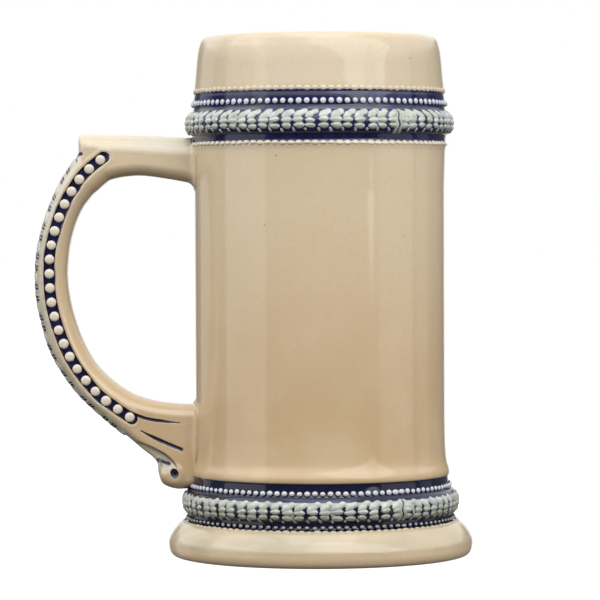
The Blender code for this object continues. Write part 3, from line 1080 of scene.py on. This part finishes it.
def make_fillet(name, node, rings, size_at, cobalt_from):
    """A skin of slip over a handle's end that flares in a hollow curve where it nears the wall. Its
    size at a height is that curve's radius. It has cobalt at the wall above the height cobalt_from."""
    rows, columns = rings.shape[:2]
    normal = grid_normals(rings)
    normal[:, :, 0] = 0
    centre = rings.mean(axis=1, keepdims=True)
    outward = np.sign(((rings - centre) * normal).sum(axis=2).mean())
    normal = outward * normal
    height = rings[:, :, 2]
    gap = np.hypot(rings[:, :, 0], rings[:, :, 1]) - np.interp(height, WALL_HEIGHTS, WALL_RADII)
    size = size_at(height)
    near = np.clip(size - gap, 0, size)
    flare = size - np.sqrt(np.maximum(size**2 - near**2, 0))
    steps = np.arange(rows)
    if gap[0].mean() < gap[-1].mean():
        steps = steps[::-1]
    lift = FILLET_LIFT - FILLET_SINK * ramp(10, 0, steps)
    outer = rings + (flare + lift[:, None])[:, :, None] * normal
    inner = rings - FILLET_DEPTH * normal
    points = np.vstack([outer.reshape(-1, 3), inner[::-1].reshape(-1, 3)])
    faces = grid_faces(2 * rows, columns, closed_rows=True, closed_columns=True)
    at_wall = ramp(0.9, 0.3, gap)
    at_wall = np.vstack([at_wall, at_wall[::-1]]).ravel()
    blue = 0.9 * at_wall * ramp(cobalt_from, cobalt_from + 0.6, points[:, 2])
    fillet = make_piece(name, points, faces, [GLAZE], blue)
    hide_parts(node)


def upper_size(height):
    return 0.5 + 1.9 * ramp(134.5, 130, height)


def lower_size(height):
    return 0.10 + 2.2 * ramp(27, 36, height)


def make_fillets(rings):
    """Both fillets, on copies of the handle's rings near the wall."""
    reach = rings[:, :, 0].mean(axis=1)
    half = len(rings) // 2
    upper = denser(rings[:half][reach[:half] > UPPER_FILLET_FROM])
    lower = denser(rings[half:][reach[half:] > LOWER_FILLET_FROM])
    make_fillet("upper_joint_fillet", "upper_slip_joint", upper, upper_size, UPPER_BLUE[0] - 0.3)
    make_fillet("lower_joint_fillet", "lower_slip_joint", lower, lower_size, HEIGHT)


def denser(rings):
    """The same rings with three more between each two."""
    share = np.linspace(0, len(rings) - 1, 4 * (len(rings) - 1) + 1)
    low = np.minimum(share.astype(int), len(rings) - 2)
    t = (share - low)[:, None, None]
    return rings[low] * (1 - t) + rings[low + 1] * t


# ---- camera, floor and light

CAMERA_DISTANCE = 1.109
CAMERA_HEIGHT = 0.1119
CAMERA_LENS = 205.0
SENSOR_WIDTH = 36.0
CAMERA_PITCH = math.radians(-1.507)
CAMERA_YAW = math.radians(0.333)
CAMERA_ROLL = math.radians(-0.22)
FLOOR_RADIUS = 6.0
FLOOR_STEPS = 96
FLOOR_GREY = (0.25, 0.25, 0.25, 1)
FLOOR_GLOW = 0.93
WHITE = (1, 1, 1, 1)


def make_camera():
    """A long lens a little above the cup's middle, level with the handle's bow and square to it."""
    camera = bpy.data.cameras.new("camera")
    camera.lens = CAMERA_LENS
    camera.sensor_width = SENSOR_WIDTH
    camera.clip_start = 0.05
    camera.clip_end = 50.0
    item = add_object("camera", camera)
    look = Matrix.Rotation(CAMERA_YAW, 4, "Z") @ Matrix.Rotation(0.5 * math.pi + CAMERA_PITCH, 4, "X")
    look = look @ Matrix.Rotation(CAMERA_ROLL, 4, "Z")
    item.matrix_world = Matrix.Translation((0.0, -CAMERA_DISTANCE, CAMERA_HEIGHT)) @ look
    bpy.context.scene.camera = item


def make_floor():
    """A wide white light table. It throws no light up at the cup, which the room does instead."""
    mesh = bpy.data.meshes.new("floor")
    turn = np.linspace(0, math.tau, FLOOR_STEPS, endpoint=False)
    ring = [(FLOOR_RADIUS * math.cos(a), FLOOR_RADIUS * math.sin(a), 0.0) for a in turn]
    mesh.from_pydata(ring, [], [tuple(range(FLOOR_STEPS))])
    floor = add_object("floor", mesh)
    material, tree, shader = new_material("floor_paper")
    paper = {"Base Color": FLOOR_GREY, "Roughness": 1.0, "Specular IOR Level": 0.0}
    set_inputs(tree, shader, {**paper, "Emission Color": WHITE, "Emission Strength": FLOOR_GLOW})
    mesh.materials.append(material)
    floor.visible_diffuse = False
    floor.visible_glossy = False


def make_world():
    """A dim room with a white backdrop. The paper behind the cup shines on it, and what is seen past
    the floor's edge is plain white from every side. The softboxes give the rest of the light."""
    world = bpy.data.worlds.new("studio")
    bpy.context.scene.world = world
    world.use_nodes = True
    tree = world.node_tree
    direction = add_node(tree, "ShaderNodeTexCoord").outputs["Generated"]
    split = add_node(tree, "ShaderNodeSeparateXYZ", {"Vector": direction})
    room = map_range(tree, split.outputs["Z"], -0.9, 0.0, FLOOR_LIGHT, ROOM_LIGHT)
    ceiling = map_range(tree, split.outputs["Z"], *CEILING_EDGE, 0.0, CEILING_LIGHT)
    backdrop = map_range(tree, split.outputs["Y"], *BACKDROP_EDGE)
    total = add_math(tree, "MAXIMUM", add_math(tree, "ADD", room, ceiling), backdrop)
    seen = add_node(tree, "ShaderNodeLightPath").outputs["Is Camera Ray"]
    total = add_math(tree, "MAXIMUM", total, seen)
    set_inputs(tree, tree.nodes["Background"], {"Color": WHITE, "Strength": total})


def softbox(name, azimuth, elevation, distance, size, radiance, turn=0.0, tint=(1, 1, 1)):
    """A rectangular softbox that faces the cup. Its azimuth is measured from the camera's side,
    to the right, and its turn is round its own axis, all in degrees. Its tint is its colour."""
    light = bpy.data.lights.new(name, "AREA")
    light.shape = "RECTANGLE"
    light.size, light.size_y = size
    light.color = tint
    light.energy = radiance * math.pi * size[0] * size[1]
    item = add_object(name, light)
    a = math.radians(azimuth)
    e = math.radians(elevation)
    away = Vector((math.sin(a) * math.cos(e), -math.cos(a) * math.cos(e), math.sin(e)))
    facing = (-away).to_track_quat("-Z", "Y").to_matrix().to_4x4()
    place = Matrix.Translation(LIGHT_CENTRE + distance * away)
    item.matrix_world = place @ facing @ Matrix.Rotation(math.radians(turn), 4, "Z")


LIGHT_CENTRE = Vector((0, 0, 0.10))
COOL_LIGHT = (0.84, 0.94, 1.14)
FLOOR_LIGHT = 0.12
ROOM_LIGHT = 0.15
CEILING_LIGHT = 1.0
CEILING_EDGE = (0.14, 0.26)
BACKDROP_EDGE = (0.93, 0.975)


def make_lights():
    softbox("key_softbox", 32, 33, 1.3, (1.8, 0.95), 2.1, -36)
    softbox("front_scrim", -10, 34, 1.3, (3.2, 1.0), 0.8)
    softbox("overhead_softbox", 0, 72, 1.2, (0.9, 0.9), 1.7, 0, COOL_LIGHT)
    softbox("left_high_softbox", -80, 42, 1.3, (0.9, 0.9), 1.35)
    softbox("left_rear_softbox", -128, 5, 1.3, (0.6, 1.4), 0.5)
    softbox("left_softbox", -72, 5, 1.3, (1.08, 1.4), 0.95)
    softbox("right_softbox", 74, 5, 1.3, (0.90, 1.4), 0.65)
    softbox("right_rear_softbox", 108, 5, 1.3, (0.40, 1.4), 0.3)


make_camera()
make_floor()
make_world()
make_lights()
bpy.context.scene.view_settings.view_transform = "Standard"

make_cup()
make_bead_rows()
make_leaf_bands()
handle_rings = make_handle()
make_handle_pearls()
make_leaf_strip()
make_fillets(handle_rings)
